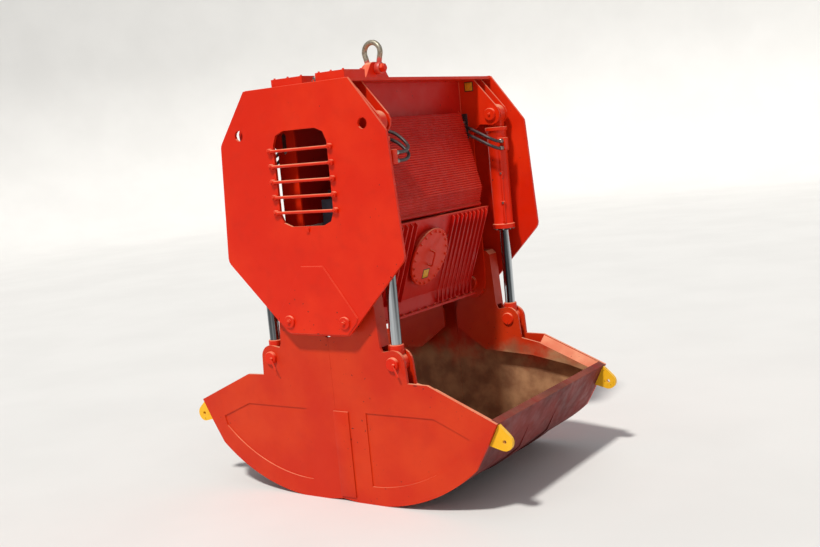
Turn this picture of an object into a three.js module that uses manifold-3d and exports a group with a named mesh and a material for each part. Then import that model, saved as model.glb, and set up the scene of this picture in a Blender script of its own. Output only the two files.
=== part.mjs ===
// Electro-hydraulic clamshell grab: a head frame with its power pack, four cylinders and two hinged shells.
// Millimetres. X runs across the jaws, Y runs along the hinge pins, Z is up, and the floor is Z = 0.
// Shells are closed and the grab stands on the flats of their bottoms.
import * as THREE from 'three';
import Module from 'manifold-3d';
import { mergeVertices } from 'three/addons/utils/BufferGeometryUtils.js';

const wasm = await Module();
wasm.setup();

// Running and assembly gaps
const GAP = 0.3;
const PIN_GAP = 0.4;
const ROUND_SIDES = 16;
const PIN_SIDES = 12;

// Linkage: hinge, top pin and lower pin of one cylinder
const SHELL_RADIUS = 1262;
const FACET_ANGLE = 5.1;
const HINGE_X = 233;
const HINGE_Z = SHELL_RADIUS * Math.cos(THREE.MathUtils.degToRad(FACET_ANGLE));
const CYLINDER_X = 520;
const CYLINDER_Y = 764;
const TOP_PIN_Z = 2522;
const LOWER_PIN_Z = 976;

// Where the upright plates stand along Y, on either side of the middle
const INNER_PLATE_Y = [694, 710];
const CHEEK_Y = [712, 728];
const SIDE_PLATE_Y = [800, 813];
const SIDE_FACE_Y = 821;
const OUTER_LOBE_Y = [802, 818];
const END_PLATE_Y = [884, 904];

// Head frame
const DECK_Z = [2790, 2810];
const DECK_HALF_X = 438;
const PANEL_X = [258, 270];
const HINGE_PIN_RADIUS = 34;
const TOP_PIN_RADIUS = 32;
const LOWER_PIN_RADIUS = 30;
const ACCESS_HOLE_RADIUS = 35;
const LOBE_RADIUS = 78;
const EAR_RADIUS = 88;
const BOSS_RADIUS = 120;

// Hydraulic cylinders
const EYE_HALF_WIDTH = 34;
const BARREL_RADIUS = 72;
const BARREL_BORE = 60;
const BARREL_TOP_Z = 2424;
const GLAND_Z = [1666, 1700];
const ROD_RADIUS = 37;
const ROD_END_Z = 1078;
const NECK_TOP_Z = 1075;

// Colours of the finishes
const redPaint = new THREE.MeshStandardMaterial({ color: 0xd8341c, roughness: 0.45, metalness: 0.1 });
const yellowPaint = new THREE.MeshStandardMaterial({ color: 0xf0c23a, roughness: 0.5, metalness: 0.1 });
const chrome = new THREE.MeshStandardMaterial({ color: 0xd5d8da, roughness: 0.12, metalness: 1.0 });
const galvanised = new THREE.MeshStandardMaterial({ color: 0x9a9c98, roughness: 0.5, metalness: 0.9 });
const darkPaint = new THREE.MeshStandardMaterial({ color: 0x2c3036, roughness: 0.5, metalness: 0.2 });
const hoseRubber = new THREE.MeshStandardMaterial({ color: 0x2a2a2c, roughness: 0.8, metalness: 0.0 });

const grab = new THREE.Group();
grab.name = 'clamshell_grab';

// ---------- making solids ----------

// A closed outline with rounded corners: each corner is [x, z] or [x, z, radius].
function rounded(corners) {
  const outline = [];
  corners.forEach(([x, z, radius = 0], index) => {
    if (radius === 0) {
      outline.push([x, z]);
      return;
    }
    const corner = new THREE.Vector2(x, z);
    const before = corners[(index + corners.length - 1) % corners.length];
    const after = corners[(index + 1) % corners.length];
    const toBefore = new THREE.Vector2(before[0] - x, before[1] - z).normalize();
    const toAfter = new THREE.Vector2(after[0] - x, after[1] - z).normalize();
    const half = Math.acos(toBefore.dot(toAfter)) / 2;
    const start = corner.clone().addScaledVector(toBefore, radius / Math.tan(half));
    const end = corner.clone().addScaledVector(toAfter, radius / Math.tan(half));
    const inward = toBefore.clone().add(toAfter).normalize();
    const centre = corner.clone().addScaledVector(inward, radius / Math.sin(half));
    const first = Math.atan2(start.y - centre.y, start.x - centre.x);
    const last = Math.atan2(end.y - centre.y, end.x - centre.x);
    const sweep = Math.atan2(Math.sin(last - first), Math.cos(last - first));
    const steps = Math.max(2, Math.ceil(Math.abs(sweep) / 0.8));
    for (let step = 0; step <= steps; step += 1) {
      const angle = first + (sweep * step) / steps;
      outline.push([centre.x + radius * Math.cos(angle), centre.y + radius * Math.sin(angle)]);
    }
  });
  return outline;
}

// Points on a circle from one angle to another, in degrees from +X towards +Z.
function arc(centreX, centreZ, radius, from, to, steps) {
  const points = [];
  for (let step = 0; step <= steps; step += 1) {
    const angle = THREE.MathUtils.degToRad(from + ((to - from) * step) / steps);
    points.push([centreX + radius * Math.cos(angle), centreZ + radius * Math.sin(angle)]);
  }
  return points;
}

// A full circle whose flats, not corners, touch the given radius, so a round pin turns inside it.
function circleAround(x, z, radius, sides = PIN_SIDES) {
  const outer = radius / Math.cos(Math.PI / sides);
  return arc(x, z, outer, 0, 360 - 360 / sides, sides - 1);
}

function bare(geometry) {
  geometry.deleteAttribute('normal');
  geometry.deleteAttribute('uv');
  return mergeVertices(geometry, 1e-4);
}

function outlineShape(outline, holes) {
  const shape = new THREE.Shape(outline.map(([a, b]) => new THREE.Vector2(a, b)));
  for (const hole of holes) {
    shape.holes.push(new THREE.Path(hole.map(([a, b]) => new THREE.Vector2(a, b))));
  }
  return shape;
}

// A plate standing across Y: its outline is in X and Z.
function plateAcrossY(outline, [low, high], holes = []) {
  const shape = outlineShape(outline, holes);
  const plate = new THREE.ExtrudeGeometry(shape, { depth: high - low, bevelEnabled: false, curveSegments: 1 });
  plate.rotateX(Math.PI / 2);
  plate.translate(0, high, 0);
  return bare(plate);
}

// A plate standing across X: its outline is in Y and Z.
function plateAcrossX(outline, [low, high], holes = []) {
  const shape = outlineShape(outline, holes);
  const plate = new THREE.ExtrudeGeometry(shape, { depth: high - low, bevelEnabled: false, curveSegments: 1 });
  plate.applyMatrix4(new THREE.Matrix4().set(0, 0, 1, low, 1, 0, 0, 0, 0, 1, 0, 0, 0, 0, 0, 1));
  return bare(plate);
}

function block([x0, x1], [y0, y1], [z0, z1]) {
  const box = new THREE.BoxGeometry(x1 - x0, y1 - y0, z1 - z0);
  box.translate((x0 + x1) / 2, (y0 + y1) / 2, (z0 + z1) / 2);
  return bare(box);
}

// A turned piece: the profile is [radius, height] pairs, turned about its own +Z.
function turned(profile, sides = ROUND_SIDES) {
  const lathe = new THREE.LatheGeometry(profile.map(([r, h]) => new THREE.Vector2(r, h)), sides);
  lathe.rotateX(Math.PI / 2);
  return bare(lathe);
}

// The same, laid along Y or X with its +Z end pointing that way.
function turnedAlongY(profile, x, z, sides = ROUND_SIDES) {
  const piece = turned(profile, sides);
  piece.rotateX(-Math.PI / 2);
  piece.translate(x, 0, z);
  return piece;
}

function turnedAlongX(profile, y, z, sides = ROUND_SIDES) {
  const piece = turned(profile, sides);
  piece.rotateY(Math.PI / 2);
  piece.translate(0, y, z);
  return piece;
}

function toManifold(geometry) {
  const vertProperties = new Float32Array(geometry.attributes.position.array);
  const triVerts = new Uint32Array(geometry.index.array);
  return new wasm.Manifold(new wasm.Mesh({ numProp: 3, vertProperties, triVerts }));
}

function fromManifold(solid) {
  const mesh = solid.getMesh();
  const geometry = new THREE.BufferGeometry();
  geometry.setAttribute('position', new THREE.BufferAttribute(new Float32Array(mesh.vertProperties), 3));
  geometry.setIndex(new THREE.BufferAttribute(new Uint32Array(mesh.triVerts), 1));
  return geometry;
}

function joined(...pieces) {
  return fromManifold(pieces.map(toManifold).reduce((whole, piece) => whole.add(piece)));
}

function cut(piece, ...cutters) {
  return fromManifold(cutters.map(toManifold).reduce((rest, cutter) => rest.subtract(cutter), toManifold(piece)));
}

// The piece made for the +X +Y corner, mirrored into another corner.
function inCorner(geometry, signX, signY) {
  const copy = geometry.clone();
  copy.scale(signX, signY, 1);
  if (signX * signY < 0) {
    const index = copy.index.array;
    for (let first = 0; first < index.length; first += 3) {
      [index[first + 1], index[first + 2]] = [index[first + 2], index[first + 1]];
    }
  }
  return copy;
}

function addPart(group, name, geometry, material) {
  const faceted = geometry.toNonIndexed();
  faceted.computeVertexNormals();
  const mesh = new THREE.Mesh(faceted, material);
  mesh.name = name;
  group.add(mesh);
}

// Right and left are +X and -X; near and far are -Y and +Y.
const SIDES = [['right', 1], ['left', -1]];
const ENDS = [['near', -1], ['far', 1]];

function forEachCorner(make) {
  for (const [side, signX] of SIDES) {
    for (const [end, signY] of ENDS) {
      make(`${side}_${end}`, signX, signY);
    }
  }
}

function mirroredOutline(half) {
  return [...half, ...half.slice().reverse().map(([x, z, radius = 0]) => [-x, z, radius])];
}

// ---------- head frame ----------

const head = new THREE.Group();
head.name = 'head';
grab.add(head);

const WINDOW_HALF_X = 225;
const WINDOW_Z = [1895, 2525];
const GUARD_BAR_ZS = [1991, 2093, 2195, 2297, 2399];
const GUARD_EAR_X = 252;
const GUARD_BAR_HALF = 7;

// One guard bar bolted over the window by its two ears, which hold it off the plate.
function guardBar(z) {
  const [, face] = END_PLATE_Y;
  const barEnd = GUARD_EAR_X - 18;
  const half = [[barEnd, face + 8], [barEnd, face - 1], [GUARD_EAR_X + 18, face - 1], [GUARD_EAR_X + 18, face + 22]];
  const seenFromAbove = [...half, ...half.slice().reverse().map(([x, y]) => [-x, y])];
  const shape = outlineShape(seenFromAbove, []);
  const bar = new THREE.ExtrudeGeometry(shape, { depth: 2 * GUARD_BAR_HALF, bevelEnabled: false });
  bar.translate(0, 0, z - GUARD_BAR_HALF);
  return bare(bar);
}

// Eight-sided end plate with a window, two pin access holes and a doubler round the hinge pins.
function endPlate() {
  const outline = rounded(mirroredOutline([
    [DECK_HALF_X, 2810], [695, 2465, 60], [745, 1665, 60], [250, 1165, 70],
  ]));
  const [low, high] = WINDOW_Z;
  const window = rounded([
    [WINDOW_HALF_X, low, 90], [WINDOW_HALF_X, high, 90], [-WINDOW_HALF_X, high, 90], [-WINDOW_HALF_X, low, 90],
  ]);
  const hingeHoles = [-1, 1].map((side) => circleAround(side * HINGE_X, HINGE_Z, HINGE_PIN_RADIUS + PIN_GAP));
  const accessHoles = [-1, 1].map((side) => circleAround(side * CYLINDER_X, TOP_PIN_Z, ACCESS_HOLE_RADIUS));
  const plate = plateAcrossY(outline, END_PLATE_Y, [window, ...hingeHoles, ...accessHoles]);
  const [, face] = END_PLATE_Y;
  const doublerOutline = mirroredOutline([[92, 1627], [336, 1290], [322, 1256], [243, 1178]]);
  const doubler = plateAcrossY(doublerOutline, [face - 1, face + 8], hingeHoles);
  const latch = block([-14, 14], [face - 1, face + 12], [1857, 1885]);
  return joined(plate, doubler, latch, ...GUARD_BAR_ZS.map(guardBar));
}

// Inner hinge plate: carries the inboard end of the top pin and of the hinge pin.
function innerPlate() {
  const lobe = arc(CYLINDER_X, TOP_PIN_Z, LOBE_RADIUS, 36.7, -110, 5);
  const boss = arc(HINGE_X, HINGE_Z, BOSS_RADIUS, 0, -90, 4);
  const outline = [
    [200, DECK_Z[0] - GAP], [DECK_HALF_X - 40, DECK_Z[0] - GAP], ...lobe,
    [420, 2455], [356, 2400], [356, 1330], ...boss, [80, 1165], [20, 1230], [20, 1760], [200, 1860],
  ];
  const hoseHole = rounded([[275, 2371, 20], [318, 2371, 20], [318, 2513, 20], [275, 2513, 20]]);
  return plateAcrossY(outline, INNER_PLATE_Y, [
    circleAround(CYLINDER_X, TOP_PIN_Z, TOP_PIN_RADIUS + PIN_GAP),
    circleAround(HINGE_X, HINGE_Z, HINGE_PIN_RADIUS + PIN_GAP),
    hoseHole,
  ]);
}

// Two low raised boxes and a cable inlet at the near edge of the deck.
function deckBoxes() {
  const floor = DECK_Z[1] - 1;
  const low = block([-212, 50], [-870, -650], [floor, 2862]);
  const high = block([162, 394], [-870, -650], [floor, 2866]);
  const inlet = turned([[0, 0], [24, 0], [24, 22], [17, 22], [17, 40], [0, 40]], 12);
  inlet.translate(106, -800, floor);
  return [low, high, inlet];
}

// Deck with the four outboard pin lobes, the raised boxes and the lifting lug welded to it.
function deck() {
  const top = block([-DECK_HALF_X, DECK_HALF_X], [-END_PLATE_Y[0] + GAP, END_PLATE_Y[0] - GAP], DECK_Z);
  const lobeOutline = [
    [330, DECK_Z[0] + 1], [DECK_HALF_X - 40, DECK_Z[0] + 1],
    ...arc(CYLINDER_X, TOP_PIN_Z, LOBE_RADIUS, 36.7, -110, 5), [430, 2480],
  ];
  const lobe = plateAcrossY(lobeOutline, OUTER_LOBE_Y, [
    circleAround(CYLINDER_X, TOP_PIN_Z, TOP_PIN_RADIUS + PIN_GAP),
  ]);
  const lobes = [[1, 1], [1, -1], [-1, 1], [-1, -1]].map(([signX, signY]) => inCorner(lobe, signX, signY));
  const lugOutline = rounded([[170, DECK_Z[1] - 1], [62, 2958, 40], [-62, 2958, 40], [-170, DECK_Z[1] - 1]]);
  const lug = plateAcrossX(lugOutline, LUG_X, [circleAround(0, SHACKLE_PIN_Z, SHACKLE_PIN_RADIUS + 1.5)]);
  return joined(top, lug, ...deckBoxes(), ...lobes);
}

// Shackle sizes are those of a 17 tonne bow shackle
const SHACKLE_PIN_Z = 2912;
const SHACKLE_PIN_RADIUS = 21;
const LUG_X = [-26, 26];
const BOW_BAR_RADIUS = 19;
const BOW_LEG_X = 49;
const BOW_EYE_HALF = 21;
const BOW_CENTRE_X = 68.5;
const BOW_CENTRE_Z = 3028;

addPart(head, 'deck', deck(), redPaint);

for (const [end, signY] of ENDS) {
  addPart(head, `${end}_end_plate`, inCorner(endPlate(), 1, signY), redPaint);
}

forEachCorner((corner, signX, signY) => {
  addPart(head, `${corner}_inner_plate`, inCorner(innerPlate(), signX, signY), redPaint);
});

// Flat panel set back between the inner plates.
function frontPanel() {
  const reach = INNER_PLATE_Y[0] - GAP;
  return block(PANEL_X, [-reach, reach], [1872, DECK_Z[0] - GAP]);
}

// Ribbed ventilated cover, open at the back where it bolts to the panel.
function ribbedCover() {
  const back = PANEL_X[1] + GAP;
  const topFront = [352, 2552];
  const lowFront = [480, 1996];
  const ribs = 22;
  const ribDepth = 9;
  const face = [];
  for (let rib = 0; rib < ribs; rib += 1) {
    for (const [share, depth] of [[0.1, 0], [0.3, ribDepth], [0.6, ribDepth], [0.8, 0]]) {
      const along = (rib + share) / ribs;
      face.push([
        topFront[0] + (lowFront[0] - topFront[0]) * along - depth,
        topFront[1] + (lowFront[1] - topFront[1]) * along - depth * 0.25,
      ]);
    }
  }
  const outer = [[back, 2552], topFront, ...face, lowFront, [437, 1868], [back, 1868]];
  const inner = [[back - 10, 2542], [338, 2542], [462, 2000], [426, 1878], [back - 10, 1878]];
  const bottomRail = turnedAlongY([[0, -556], [13, -556], [13, 556], [0, 556]], 447, 1876, 8);
  return joined(cut(plateAcrossY(outer, [-560, 560]), plateAcrossY(inner, [-552, 552])), bottomRail);
}

for (const [side, signX] of SIDES) {
  addPart(head, `${side}_front_panel`, inCorner(frontPanel(), signX, 1), redPaint);
  addPart(head, `${side}_ribbed_cover`, inCorner(ribbedCover(), signX, 1), redPaint);
}

const TANK_HALF_Y = 590;
const TANK_TOP = [502, 1852];
const TANK_BEND = [292, 1300];
const TANK_FLOOR_Z = 1200;
const MANHOLE = { y: -176, z: 1596, radius: 209, opening: 172, neckRadius: 188, neckHeight: 34 };
const TANK_WALL = 10;
const MANHOLE_COVER_THICKNESS = 16;
const HANDLE = { y: -12, footZ: 50, halfBar: 7, gap: 30, halfLength: 57 };
const FIN_PITCH = 57;
const FIN_DEPTH = 30;
const FIN_HALF_THICKNESS = 5;
const FIN_GROUPS = [
  { firstY: 85, step: FIN_PITCH, count: 9, low: TANK_FLOOR_Z + 15 },
  { firstY: -387, step: -FIN_PITCH, count: 4, low: TANK_BEND[1] },
];
const tankSlope = Math.atan2(TANK_TOP[0] - TANK_BEND[0], TANK_TOP[1] - TANK_BEND[1]);

// A point on the sloped face of the tank at height z, standing off by the given distance.
function tankFaceX(z) {
  return TANK_BEND[0] + ((z - TANK_BEND[1]) * (TANK_TOP[0] - TANK_BEND[0])) / (TANK_TOP[1] - TANK_BEND[1]);
}

function onTankFace(piece) {
  piece.rotateY(tankSlope);
  piece.translate(tankFaceX(MANHOLE.z), MANHOLE.y, MANHOLE.z);
  return piece;
}

// Oil tank: tapered welded box with cooling fins on both faces and a manhole in the right one.
function oilTank() {
  const outer = mirroredOutline([TANK_TOP, TANK_BEND, [TANK_BEND[0], TANK_FLOOR_Z]]);
  const inner = mirroredOutline([
    [TANK_TOP[0] - TANK_WALL, TANK_TOP[1] - TANK_WALL], [TANK_BEND[0] - TANK_WALL, TANK_BEND[1]],
    [TANK_BEND[0] - TANK_WALL, TANK_FLOOR_Z + TANK_WALL],
  ]);
  const shell = cut(
    plateAcrossY(outer, [-TANK_HALF_Y, TANK_HALF_Y]),
    plateAcrossY(inner, [-TANK_HALF_Y + TANK_WALL, TANK_HALF_Y - TANK_WALL]),
    onTankFace(turnedAlongX([[0, -60], [MANHOLE.opening, -60], [MANHOLE.opening, 60], [0, 60]], 0, 0, 24)),
  );
  const neck = onTankFace(turnedAlongX([
    [MANHOLE.opening, -4], [MANHOLE.neckRadius, -4],
    [MANHOLE.neckRadius, MANHOLE.neckHeight], [MANHOLE.opening, MANHOLE.neckHeight],
    [MANHOLE.opening, -4],
  ], 0, 0, 24));
  const rim = block([-318, 318], [-TANK_HALF_Y - 14, TANK_HALF_Y + 14], [TANK_FLOOR_Z - 14, TANK_FLOOR_Z + 1]);
  const fins = [];
  for (const { firstY, step, count, low } of FIN_GROUPS) {
    const outline = [
      [TANK_TOP[0] - 4, TANK_TOP[1] - 6], [TANK_TOP[0] + FIN_DEPTH - 14, TANK_TOP[1] - 30],
      [TANK_BEND[0] + FIN_DEPTH, TANK_BEND[1]], [TANK_BEND[0] + FIN_DEPTH - 8, low - 1],
      [TANK_BEND[0] - 4, low - 1],
    ];
    for (let fin = 0; fin < count; fin += 1) {
      const y = firstY + fin * step;
      for (const signX of [-1, 1]) {
        fins.push(inCorner(plateAcrossY(outline, [y - FIN_HALF_THICKNESS, y + FIN_HALF_THICKNESS]), signX, 1));
      }
    }
  }
  return joined(shell, neck, rim, ...fins);
}

// Round cover bolted on the neck of the manhole, with a D handle.
function manholeCover() {
  const seat = MANHOLE.neckHeight + GAP;
  const top = seat + MANHOLE_COVER_THICKNESS;
  const disc = turnedAlongX([[0, seat], [MANHOLE.radius, seat], [MANHOLE.radius, top - 4], [MANHOLE.radius - 6, top],
    [0, top]], 0, 0, 24);
  const barWidth = [HANDLE.y - HANDLE.halfBar, HANDLE.y + HANDLE.halfBar];
  const footTop = top + HANDLE.gap + 4;
  const gripTop = top + HANDLE.gap + 2 * HANDLE.halfBar;
  const feet = [-HANDLE.footZ, HANDLE.footZ].map((z) => (
    block([top - 1, footTop], barWidth, [z - HANDLE.halfBar, z + HANDLE.halfBar])
  ));
  const grip = block([top + HANDLE.gap, gripTop], barWidth, [-HANDLE.halfLength, HANDLE.halfLength]);
  return onTankFace(joined(disc, ...feet, grip));
}

addPart(head, 'oil_tank', oilTank(), redPaint);
addPart(head, 'manhole_cover', manholeCover(), redPaint);

// Electric motor lying along Y on two feet that stand on the tank.
const PACK_AXIS_Z = 2150;
const PACK_FOOT_Z = TANK_TOP[1] + GAP;

function motor() {
  const body = turnedAlongY([
    [0, -60], [150, -60], [190, -45], [190, 370], [196, 380], [196, 470], [150, 490], [0, 490],
  ], 0, PACK_AXIS_Z);
  const feet = [20, 290].map((y) => block([-170, 170], [y - 30, y + 30], [PACK_FOOT_Z, PACK_AXIS_Z - 120]));
  const terminalBox = block([-80, 80], [90, 250], [PACK_AXIS_Z + 170, PACK_AXIS_Z + 250]);
  return joined(body, ...feet, terminalBox);
}

// Pump with its bell housing, bolted to the motor's shaft end.
function pump() {
  const face = -60 - GAP;
  return turnedAlongY([
    [0, -420], [75, -420], [75, -300], [95, -300], [95, -240], [135, face], [0, face],
  ], 0, PACK_AXIS_Z, PIN_SIDES);
}

// Valve block between the pump and the near end of the tank.
function valveBlock() {
  const body = block([-120, 120], [-590, -450], [PACK_FOOT_Z, PACK_FOOT_Z + 190]);
  const coils = [-75, 0, 75].map((x) => block([x - 22, x + 22], [-540, -500],
    [PACK_FOOT_Z + 189, PACK_FOOT_Z + 250]));
  return joined(body, ...coils);
}

addPart(head, 'motor', motor(), darkPaint);
addPart(head, 'pump', pump(), darkPaint);
addPart(head, 'valve_block', valveBlock(), darkPaint);

// Hinge pins: round plates at both ends hold each pin in its plates.
function hingePin() {
  const inner = INNER_PLATE_Y[0] - GAP;
  const outer = END_PLATE_Y[1] + 8 + GAP;
  return turnedAlongY([
    [0, inner - 26], [50, inner - 26], [50, inner], [HINGE_PIN_RADIUS, inner],
    [HINGE_PIN_RADIUS, outer], [40, outer], [40, outer + 12], [0, outer + 12],
  ], HINGE_X, HINGE_Z, PIN_SIDES);
}

function topPin() {
  const inner = INNER_PLATE_Y[0] - GAP;
  const outer = OUTER_LOBE_Y[1] + 12;
  return turnedAlongY([
    [0, inner - 18], [44, inner - 18], [44, inner], [TOP_PIN_RADIUS, inner],
    [TOP_PIN_RADIUS, outer], [0, outer],
  ], CYLINDER_X, TOP_PIN_Z, PIN_SIDES);
}

forEachCorner((corner, signX, signY) => {
  addPart(head, `${corner}_hinge_pin`, inCorner(hingePin(), signX, signY), redPaint);
  addPart(head, `${corner}_top_pin`, inCorner(topPin(), signX, signY), redPaint);
});

// Two hydraulic hoses from an oval outlet in the inner plate, looping to the ports on the barrel.
const HOSE_RADIUS = 13;

function hosePair() {
  const outletY = INNER_PLATE_Y[0];
  const outline = rounded([[276, 2372, 20], [317, 2372, 20], [317, 2512, 20], [276, 2512, 20]]);
  const pieces = [plateAcrossY(outline, [outletY - 6, outletY + 8])];
  for (const drop of [0, 52]) {
    const route = new THREE.CatmullRomCurve3([
      new THREE.Vector3(297, outletY - 2, 2478 - drop), new THREE.Vector3(306, 640, 2474 - drop),
      new THREE.Vector3(360, 604, 2446 - drop), new THREE.Vector3(470, 560, 2398 - drop),
      new THREE.Vector3(560, 545, 2352 - drop), new THREE.Vector3(598, 590, 2328 - drop),
      new THREE.Vector3(598, 650, 2320 - drop), new THREE.Vector3(598, 694, 2320 - drop),
    ]);
    const points = route.getPoints(200);
    const section = new THREE.Shape(arc(0, 0, HOSE_RADIUS, 0, 315, 7).map(([a, b]) => new THREE.Vector2(a, b)));
    const tube = new THREE.ExtrudeGeometry(section, { steps: 8, extrudePath: new THREE.CatmullRomCurve3(
      [0, 28, 56, 84, 112, 140, 170, 200].map((index) => points[index]),
    ) });
    pieces.push(bare(tube));
  }
  return joined(...pieces);
}

forEachCorner((corner, signX, signY) => {
  addPart(head, `${corner}_hose_pair`, inCorner(hosePair(), signX, signY), hoseRubber);
});

// ---------- shackle ----------

const shackle = new THREE.Group();
shackle.name = 'shackle';
grab.add(shackle);

// The bow: two straight legs with pin eyes, opening out to a round crown.
function shackleBow() {
  const crown = arc(0, BOW_CENTRE_Z, BOW_CENTRE_X, -18, 198, 12);
  const route = [[BOW_LEG_X, SHACKLE_PIN_Z], [BOW_LEG_X + 2, SHACKLE_PIN_Z + 40], ...crown,
    [-BOW_LEG_X - 2, SHACKLE_PIN_Z + 40], [-BOW_LEG_X, SHACKLE_PIN_Z]];
  const path = new THREE.CatmullRomCurve3(route.map(([x, z]) => new THREE.Vector3(x, 0, z)));
  const section = new THREE.Shape(arc(0, 0, BOW_BAR_RADIUS, 0, 315, 7).map(([a, b]) => new THREE.Vector2(a, b)));
  const bar = bare(new THREE.ExtrudeGeometry(section, { steps: 20, extrudePath: path }));
  const eyes = [-1, 1].map((side) => turnedAlongX([
    [0, side * BOW_LEG_X - BOW_EYE_HALF], [42, side * BOW_LEG_X - BOW_EYE_HALF],
    [42, side * BOW_LEG_X + BOW_EYE_HALF], [0, side * BOW_LEG_X + BOW_EYE_HALF],
  ], 0, SHACKLE_PIN_Z, PIN_SIDES));
  const bore = turnedAlongX([[0, -120], [SHACKLE_PIN_RADIUS + 0.8, -120], [SHACKLE_PIN_RADIUS + 0.8, 120],
    [0, 120]], 0, SHACKLE_PIN_Z, PIN_SIDES);
  return cut(joined(bar, ...eyes), bore);
}

function shacklePin() {
  const outer = BOW_LEG_X + BOW_EYE_HALF + 4 * GAP;
  return turnedAlongX([
    [0, -outer - 16], [34, -outer - 16], [34, -outer], [SHACKLE_PIN_RADIUS, -outer], [SHACKLE_PIN_RADIUS, outer],
    [32, outer], [32, outer + 30], [0, outer + 30],
  ], 0, SHACKLE_PIN_Z, PIN_SIDES);
}

addPart(shackle, 'shackle_bow', shackleBow(), galvanised);
addPart(shackle, 'shackle_pin', shacklePin(), redPaint);

// ---------- shells ----------

const LIP_LOW = [1170, 478];
const LIP_TOP = [1250, 632];
const ARC_END_ANGLE = 42;
const SEAM_X = 0.5;

// A point on the shell's arc, at an angle from straight down about the hinge pin.
function onShellArc(degrees, radius = SHELL_RADIUS) {
  const angle = THREE.MathUtils.degToRad(degrees);
  return [HINGE_X + radius * Math.sin(angle), HINGE_Z - radius * Math.cos(angle)];
}

const seamAngle = THREE.MathUtils.radToDeg(Math.asin((SEAM_X - HINGE_X) / SHELL_RADIUS));
const ARC_ANGLES = [seamAngle, -FACET_ANGLE, FACET_ANGLE, 15.3, 25.5, 34, ARC_END_ANGLE];

// Outline of the side plate with its cylinder lug and the arm up to the hinge.
function sidePlateOutline() {
  const bottom = ARC_ANGLES.map((angle) => onShellArc(angle));
  return [
    ...bottom, LIP_LOW, LIP_TOP, [765, 846], [CYLINDER_X + EAR_RADIUS + 7, 850],
    ...arc(CYLINDER_X, LOWER_PIN_Z, EAR_RADIUS, 0, 112, 5),
    [438, 1050], [424, 1080], [400, 1470], [372, 1500], [300, 1500], [180, 1400],
    ...arc(HINGE_X, HINGE_Z, BOSS_RADIUS, 150, 210, 3), [SEAM_X, 1132],
  ];
}

// Side plate: full panel inboard, with the thicker upper plate, rim strip and seam strip proud of it.
function sidePlate(hasGuideStrip) {
  const holes = [
    circleAround(HINGE_X, HINGE_Z, HINGE_PIN_RADIUS + PIN_GAP),
    circleAround(CYLINDER_X, LOWER_PIN_Z, LOWER_PIN_RADIUS + PIN_GAP),
  ];
  const stripRadius = SHELL_RADIUS - 130;
  const recess = [
    [255, 632], ...[-1, 8, 17, 26, 35, 44.5].map((angle) => onShellArc(angle, stripRadius)), [1046, 520], [789, 632],
  ].filter(([x]) => x >= 255);
  recess.splice(1, 0, [255, onShellArc(1, stripRadius)[1]]);
  const plate = plateAcrossY(sidePlateOutline(), [SIDE_PLATE_Y[0], SIDE_FACE_Y], holes);
  const pieces = [cut(plate, plateAcrossY(recess, [SIDE_PLATE_Y[1], SIDE_FACE_Y + 5]))];
  if (hasGuideStrip) {
    pieces.push(plateAcrossY([[-15, 30], [-15, 632], [112, 632], [112, 8], [40, 12]],
      [SIDE_FACE_Y + GAP, SIDE_FACE_Y + 10]));
    pieces.push(block([12, 104], [SIDE_FACE_Y - 1, SIDE_FACE_Y + 1], [30, 622]));
  }
  return joined(...pieces);
}

// Curved bottom of the shell with its cutting lip at the seam and the lip plate at the back.
function shellWrapper() {
  const plate = 14;
  const reach = SIDE_PLATE_Y[0] - GAP;
  const outer = ARC_ANGLES.map((angle) => onShellArc(angle));
  const inner = ARC_ANGLES.slice(1).map((angle) => onShellArc(angle, SHELL_RADIUS - plate)).reverse();
  const outline = [
    ...outer, LIP_LOW, LIP_TOP, [1204, 653], [1196, 637], [1222, 624], [1150, 487],
    ...inner, [SEAM_X, 62],
  ];
  const wrapper = plateAcrossY(outline, [-reach, reach]);
  const strapAngles = [15.3, 25.5, 34, ARC_END_ANGLE];
  const strapOutline = [
    ...strapAngles.map((angle) => onShellArc(angle, SHELL_RADIUS + 9)), LIP_LOW,
    ...strapAngles.map((angle) => onShellArc(angle, SHELL_RADIUS - 2)).reverse(),
  ];
  const straps = [[-260, -140], [140, 260]].map((range) => plateAcrossY(strapOutline, range));
  return joined(wrapper, ...straps);
}

// Inner cheek: inboard ear for the lower pin, front flange of the arm and the sloped rim flange.
function armCheek() {
  const outline = [
    [60, 900], [300, 730], [700, 700], [1000, 640], [1160, 590], [1190, 612], [765, 798],
    [CYLINDER_X + EAR_RADIUS + 12, 830], ...arc(CYLINDER_X, LOWER_PIN_Z, EAR_RADIUS, 0, 112, 5),
    [438, 1050], [424, 1080], [400, 1470], [372, 1500], [300, 1500], [180, 1400],
    ...arc(HINGE_X, HINGE_Z, BOSS_RADIUS, 150, 210, 3), [60, 1035],
  ];
  const cheek = plateAcrossY(outline, CHEEK_Y, [
    circleAround(HINGE_X, HINGE_Z, HINGE_PIN_RADIUS + PIN_GAP),
    circleAround(CYLINDER_X, LOWER_PIN_Z, LOWER_PIN_RADIUS + PIN_GAP),
  ]);
  const outerY = SIDE_PLATE_Y[0] - GAP;
  const flange = plateAcrossY([[424, 1080], [400, 1470], [372, 1500], [362, 1488], [386, 1462], [410, 1080]],
    [CHEEK_Y[1] - 1, outerY]);
  const rimFlange = plateAcrossY([[770, 838], [1196, 650], [1190, 637], [764, 825]], [CHEEK_Y[1] - 4, outerY]);
  const rimFall = 0.6;
  rimFlange.applyMatrix4(new THREE.Matrix4().makeShear(0, 0, 0, rimFall, 0, 0));
  rimFlange.translate(0, 0, -rimFall * outerY);
  return joined(cheek, flange, rimFlange);
}

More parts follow.
